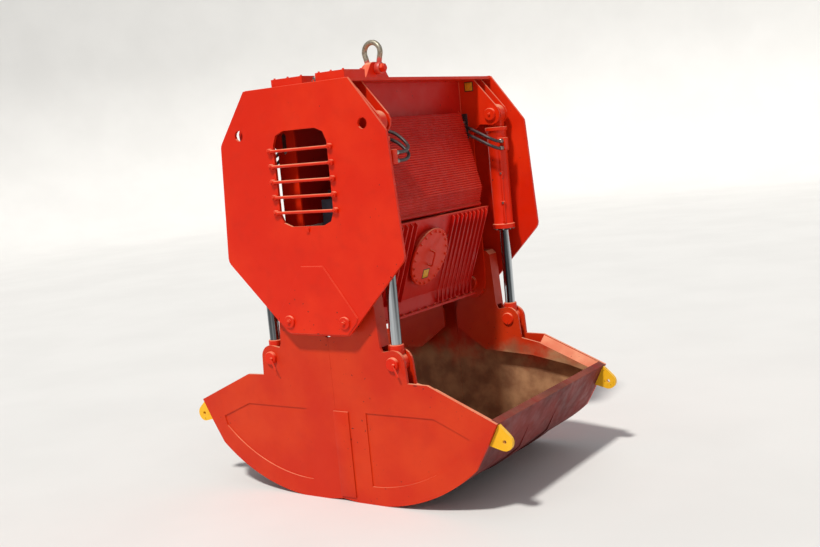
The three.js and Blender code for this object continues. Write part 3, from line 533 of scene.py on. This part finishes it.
def flowing(points, steps=10):
    points = [Vector(p) for p in points]
    padded = [2 * points[0] - points[1]] + points + [2 * points[-1] - points[-2]]
    route = []
    for a, b, c, d in zip(padded, padded[1:], padded[2:], padded[3:]):
        for k in range(steps):
            t = k / steps
            route.append(0.5 * (2 * b + (c - a) * t + (2 * a - 5 * b + 4 * c - d) * t * t
                                + (3 * b - a - 3 * c + d) * t ** 3))
    return route + [points[-1]]


HOSE_RADIUS = 0.0115
HOSE_SPACING = 0.052
for side, end, sx, sy in CORNERS:
    corner = f"{side}_{end}"
    covers, root_ends, port_ends = bmesh.new(), bmesh.new(), bmesh.new()
    # The near hoses bow further inward and leave a little higher than the far ones.
    bow, lift = (0.080, 0.045) if end == "near" else (0.0, 0.0)
    for drop in (0.0, HOSE_SPACING):
        places = [
            (0.297, 0.690, 2.478 + lift),
            (0.306, 0.640, 2.474 + lift),
            (0.360, 0.604 - bow / 2, 2.446 + lift),
            (0.470, 0.575 - bow, 2.398 + lift),
            (0.560, 0.572 - bow, 2.352 + lift / 3),
            (0.598, 0.600 - bow / 2, 2.328),
            (0.598, 0.650, 2.320),
            (0.598, 0.697, 2.320),
        ]
        route = flowing([(sx * x, sy * y, z - drop) for x, y, z in places])
        tube(covers, route, HOSE_RADIUS, 20)
        turned(root_ends, [(0.0120, 0), (0.0150, 0.002), (0.0150, 0.036), (0.0120, 0.038), (0.0120, 0)],
               route[2], route[8] - route[2], 24)
        turned(port_ends, [(0.0120, 0), (0.0150, 0.002), (0.0150, 0.034), (0.0120, 0.036), (0.0120, 0)],
               route[-1], route[-10] - route[-1], 24)
        disc(port_ends, Vector(route[-1]) + Vector((0, -sy * 0.009, 0)), (0, sy, 0), 0.0185, 0.0095, 0.001, 6)
    hoses = finish_piece(f"{corner}_braided_hoses", covers, rubber, None)
    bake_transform(hoses)
    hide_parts(f"{corner}_hose_pair")
    finish_piece(f"{corner}_hose_root_ferrules", root_ends, zinc_bolt, "head")
    finish_piece(f"{corner}_hose_port_ferrules", port_ends, zinc_bolt, f"{corner}_barrel_body")
    # A dark rubber block over the oval outlet stands in for the shadowed hole: painted shade.
    bm = bmesh.new()
    slab(bm, (sx * 0.266, sy * 0.6885, 2.350 + lift), (sx * 0.322, sy * 0.701, 2.545 + lift), 0.006)
    finish_piece(f"{corner}_outlet_shade_block", bm, rubber, "head")

# ---------- shell side plates ----------
# Flame-cut plate with a thicker upper plate, a rim strip along the arc and, on the right shell, a seam strip.
# The near and far plates are mirror images.


def arc_points(cx, cz, radius, first, last, steps):
    angles = [math.radians(first + (last - first) * k / steps) for k in range(steps + 1)]
    return [(cx + radius * math.cos(angle), cz + radius * math.sin(angle)) for angle in angles]


def plate(bm, rings, y_low, y_high, sx):
    part = bmesh.new()
    edges = []
    for ring in rings:
        verts = [part.verts.new((sx * x, y_low, z)) for x, z in ring]
        edges += [part.edges.new((verts[k - 1], verts[k])) for k in range(len(verts))]
    bmesh.ops.triangle_fill(part, edges=edges, use_beauty=True)
    bmesh.ops.dissolve_limit(part, angle_limit=0.001, verts=part.verts, edges=part.edges, delimit=set())
    lifted = bmesh.ops.extrude_face_region(part, geom=list(part.faces))["geom"]
    lifted_verts = [g for g in lifted if isinstance(g, bmesh.types.BMVert)]
    bmesh.ops.translate(part, vec=(0, y_high - y_low, 0), verts=lifted_verts)
    bmesh.ops.recalc_face_normals(part, faces=part.faces)
    held = bpy.data.meshes.new("part")
    part.to_mesh(held)
    part.free()
    bm.from_mesh(held)
    bpy.data.meshes.remove(held)


bottom_arc = [(0.0005, 0.0170), (0.121, 0.0)] + arc_points(HINGE_X, HINGE_Z, 1.262, -84.9, -48, 26)
side_outline = bottom_arc + [(1.170, 0.478), (1.250, 0.632), (0.765, 0.846), (0.615, 0.850)] \
    + arc_points(ROD_X, LOWER_PIN_Z, 0.088, 0, 112, 14) \
    + [(0.438, 1.050), (0.424, 1.080), (0.400, 1.470), (0.372, 1.500), (0.300, 1.500), (0.180, 1.400)] \
    + arc_points(HINGE_X, HINGE_Z, 0.120, 150, 210, 10) + [(0.0005, 1.132)]
recess = [(0.255, 0.632), (0.255, 0.1268)] + arc_points(HINGE_X, HINGE_Z, 1.132, -87, -45.5, 26) \
    + [(1.046, 0.520), (0.789, 0.632)]
for side, end, sx, sy in CORNERS:
    bm = bmesh.new()
    plate(bm, [side_outline], sy * 0.800, sy * 0.8131, sx)
    plate(bm, [side_outline, recess], sy * 0.8130, sy * 0.821, sx)
    if side == "right":
        slab(bm, (-0.014, sy * 0.8213, 0.034), (0.112, sy * 0.831, 0.632), 0.002)
    side_plate = finish_piece(f"{side}_{end}_flame_cut_side", bm, inner_worn_paint, f"{side}_shell", 28)
    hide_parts(f"{side}_{end}_side_plate")

# ---------- curved shell plates ----------
# Rolled wear plate closed by a cutting lip at the seam and a folded lip plate at the back, with two straps.
for side, sx in SIDES:
    bm = bmesh.new()
    inner_arc = arc_points(HINGE_X, HINGE_Z, 1.248, -48, -84.9, 26) + [(0.121, 0.014), (0.0005, 0.062)]
    rolled = bottom_arc + [(1.170, 0.478), (1.250, 0.632), (1.204, 0.653), (1.196, 0.637), (1.222, 0.624),
                           (1.150, 0.487)] + inner_arc
    plate(bm, [rolled], -0.7997, 0.7997, sx)
    strap = arc_points(HINGE_X, HINGE_Z, 1.271, -74.7, -48, 20) + [(1.170, 0.478)] \
        + arc_points(HINGE_X, HINGE_Z, 1.2605, -48, -74.7, 20)
    for low in (-0.260, 0.140):
        plate(bm, [strap], low, low + 0.120, sx)
    scoured_and_shaded_shell = scoured(f"{side}_shell_scoured_and_painted_shade", sx)
    rolled_plate = finish_piece(f"{side}_rolled_plate", bm, scoured_and_shaded_shell, f"{side}_shell", 30)
    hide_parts(f"{side}_shell_wrapper")

# ---------- ribbed covers ----------
# Pressed steel covers over the coolers, with close horizontal ribs all the way down to a rolled rail.
COVER_TOP = Vector((0.352, 2.552))
COVER_KNEE = Vector((0.480, 1.996))
COVER_FOOT = Vector((0.450, 1.888))
RIB_DEPTH = 0.007


def ribs_between(start, stop, count):
    line = []
    for k in range(count):
        for share, depth in ((0.10, 0.0), (0.30, RIB_DEPTH), (0.60, RIB_DEPTH), (0.80, 0.0)):
            at = start.lerp(stop, (k + share) / count)
            line.append((at.x - depth, at.y))
    return line


for side, sx in SIDES:
    front = ribs_between(COVER_TOP, COVER_KNEE, 34) + ribs_between(COVER_KNEE, COVER_FOOT, 6)
    outline = [(0.2704, 2.552), tuple(COVER_TOP)] + front + [(0.447, 1.868), (0.2704, 1.868)]
    bm = bmesh.new()
    plate(bm, [outline], -0.560, 0.560, sx)
    turned(bm, [(0, -0.558), (0.011, -0.558), (0.013, -0.556), (0.013, 0.556), (0.011, 0.558), (0, 0.558)],
           (sx * 0.447, 0, 1.876), (0, 1, 0), 28)
    ribbed = finish_piece(f"{side}_close_ribbed_cover", bm, shaded_cover_paint, "head", 25)
    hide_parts(f"{side}_ribbed_cover")

# ---------- welds ----------
# Fillet welds under the paint where plate meets plate. Their beads show as a fine ripple.
weld_paint = paint("painted_weld_bead", "#D62C14", "#E8563A", "#F09A7C", 0.5, 0.72)
weld_tree = weld_paint.node_tree
weld_surface = principled(weld_paint)
ripple = add(weld_tree, "Bump", Height=noise(weld_tree, 160.0, 3), Strength=0.8, Distance=0.002)
weld_tree.links.new(ripple.outputs[0], weld_surface.inputs["Normal"])
bm = bmesh.new()
doubler = [(0.092, 1.627), (0.336, 1.290), (0.322, 1.256), (0.243, 1.178), (-0.243, 1.178), (-0.322, 1.256),
           (-0.336, 1.290), (-0.092, 1.627), (0.092, 1.627)]
for sy in (-1, 1):
    tube(bm, [(x, sy * 0.9050, z) for x, z in doubler], 0.0050, 8)
    tube(bm, [(-0.436, sy * 0.8845, 2.8095), (0.436, sy * 0.8845, 2.8095)], 0.0045, 8)
    tube(bm, [(-0.430, sy * 0.8825, 2.7885), (0.430, sy * 0.8825, 2.7885)], 0.0045, 8)
    for sx in (-1, 1):
        tube(bm, [(sx * 0.270, sy * 0.6930, 2.785), (sx * 0.270, sy * 0.6930, 1.880)], 0.0040, 8)
        for y in (0.693, 0.711, 0.801, 0.819):
            tube(bm, [(sx * 0.336, sy * y, 2.7890), (sx * 0.396, sy * y, 2.7890)], 0.0040, 8)
for sx in (-1, 1):
    tube(bm, [(sx * 0.027, -0.166, 2.811), (sx * 0.027, 0.166, 2.811)], 0.0055, 8)
finish_piece("frame_welds", bm, weld_paint, "head")

# ---------- tank, covers and deck fasteners ----------
# Bolts of the tank's bottom flange, of the ribbed covers and of the raised deck boxes.
bm = bmesh.new()
for sx in (-1, 1):
    for k in range(12):
        bolt(bm, (sx * 0.306, -0.55 + 0.1 * k, 1.2012), (0, 0, 1), 0.014)
    for y in (-0.545, 0.545):
        bolt(bm, (sx * 0.338, y, 2.552), (0, 0, 1), 0.012)
for low, high, top in ((-0.212, 0.050, 2.862), (0.162, 0.394, 2.866)):
    for x in (low + 0.018, (low + high) / 2, high - 0.018):
        for y in (-0.852, -0.668):
            bolt(bm, (x, y, top), (0, 0, 1), 0.012)
finish_piece("frame_bolts", bm, red_paint, "head")
bm = bmesh.new()
cable_inlet = (0.106, -0.800, 2.8095)
disc(bm, cable_inlet, (0, 0, 1), 0.026, 0.022, 0.002, 6)
turned(bm, [(0, 0.020), (0.019, 0.020), (0.019, 0.036), (0.016, 0.0405), (0, 0.0405)],
       cable_inlet, (0, 0, 1), 40)
finish_piece("cable_gland", bm, zinc_bolt, "head")

# ---------- bow shackle ----------
# Forged bow shackle, about the 17 tonne size. The crown is bare zinc, the legs and pin have red overspray.
SHACKLE_PIN_Z = 2.912
crown = arc_points(0.0, 3.028, 0.0685, -18, 198, 36)
bow_route = flowing([(0.049, 0, SHACKLE_PIN_Z), (0.051, 0, 2.952)] + [(x, 0, z) for x, z in crown]
                    + [(-0.051, 0, 2.952), (-0.049, 0, SHACKLE_PIN_Z)], 4)
bm = bmesh.new()
tube(bm, bow_route, 0.0190, 28)
for sign in (-1, 1):
    turned(bm, [(0.0225, -0.021), (0.040, -0.021), (0.042, -0.018), (0.042, 0.018), (0.040, 0.021),
                (0.0225, 0.021), (0.0225, -0.021)], (sign * 0.049, 0, SHACKLE_PIN_Z), (1, 0, 0), 48)
overspray = metal("zinc_with_red_overspray", "#B4AE9C", "#8A8576", 0.38, 0.62, (70.0, 70.0, 70.0), 0.85, 2.0)
shackle_tree = overspray.node_tree
shackle_surface = principled(overspray)
bare = shackle_surface.inputs["Base Color"].links[0].from_socket
height = add(shackle_tree, "SeparateXYZ", i0=add(shackle_tree, "TexCoord").outputs["Object"])
edge = add(shackle_tree, "Math", {"operation": "ADD"}, i0=height.outputs[2],
           i1=band(shackle_tree, noise(shackle_tree, 30.0, 4), 0.3, 0.7, -0.015, 0.015))
share = band(shackle_tree, edge.outputs[0], 2.962, 2.985, 1.0, 0.0)
coated = mixed(shackle_tree, share, bare, linear("#C8321C"))
shackle_tree.links.new(coated, shackle_surface.inputs["Base Color"])
shackle_tree.links.new(band(shackle_tree, share, 0.0, 1.0, 0.85, 0.0), shackle_surface.inputs["Metallic"])
bow = finish_piece("forged_bow", bm, overspray, "shackle", 50)
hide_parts("shackle_bow")
bm = bmesh.new()
turned(bm, [(0, -0.0872), (0.031, -0.0872), (0.034, -0.084), (0.034, -0.0712), (0.021, -0.0712),
            (0.021, 0.0712), (0.0225, 0.0712), (0.0225, 0.100), (0, 0.1012)],
       (0, 0, SHACKLE_PIN_Z), (1, 0, 0), 48)
disc(bm, (0.0714, 0, SHACKLE_PIN_Z), (1, 0, 0), 0.0335, 0.0240, 0.003, 6)
pin = finish_piece("shackle_bolt_and_nut", bm, red_paint, "shackle")
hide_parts("shackle_pin")

# ---------- floor and light ----------
# A pale seamless floor that sweeps up into a wall all round, a soft sky and one high sun from the near side.
floor_material, floor_tree, floor_surface = new_material("pale_floor")
floor_colour = mixed(floor_tree, band(floor_tree, noise(floor_tree, 0.6, 3), 0.3, 0.7), linear("#E2E2E1"),
                     linear("#DEDEDD"))
floor_tree.links.new(floor_colour, floor_surface.inputs["Base Color"])
floor_surface.inputs["Roughness"].default_value = 0.9
floor_bm = bmesh.new()
FLAT_RADIUS = 26.0
SWEEP_RADIUS = 6.0
WALL_HEIGHT = 9.0
quarter = [math.pi / 2 * k / 16 for k in range(1, 17)]
sweep = [(0.0, 0.0), (FLAT_RADIUS, 0.0)]
for t in quarter:
    sweep.append((FLAT_RADIUS + SWEEP_RADIUS * math.sin(t), SWEEP_RADIUS * (1 - math.cos(t))))
sweep.append((FLAT_RADIUS + SWEEP_RADIUS, WALL_HEIGHT))
turned(floor_bm, sweep, (0, 0, 0), (0, 0, 1), 96)
bmesh.ops.reverse_faces(floor_bm, faces=[f for f in floor_bm.faces if f.normal.z < -0.001])
floor_mesh = bpy.data.meshes.new("floor")
floor_bm.to_mesh(floor_mesh)
floor_bm.free()
floor_mesh.materials.append(floor_material)
floor_mesh.shade_smooth()
floor = bpy.data.objects.new("floor", floor_mesh)
bpy.context.scene.collection.objects.link(floor)
world = bpy.data.worlds.new("soft_sky")
world.use_nodes = True
world.node_tree.nodes["Background"].inputs[0].default_value = linear("#F5F7FA")
world.node_tree.nodes["Background"].inputs[1].default_value = 0.42
bpy.context.scene.world = world
bpy.context.scene.view_settings.view_transform = "Standard"
sun_data = bpy.data.lights.new("sun", "SUN")
sun_data.energy = 3.0
sun_data.angle = math.radians(6)
sun_data.color = (1.0, 0.96, 0.9)
sun = bpy.data.objects.new("sun", sun_data)
sun.rotation_euler = Vector((0.06, -0.55, 0.83)).to_track_quat("Z", "Y").to_euler()
bpy.context.scene.collection.objects.link(sun)
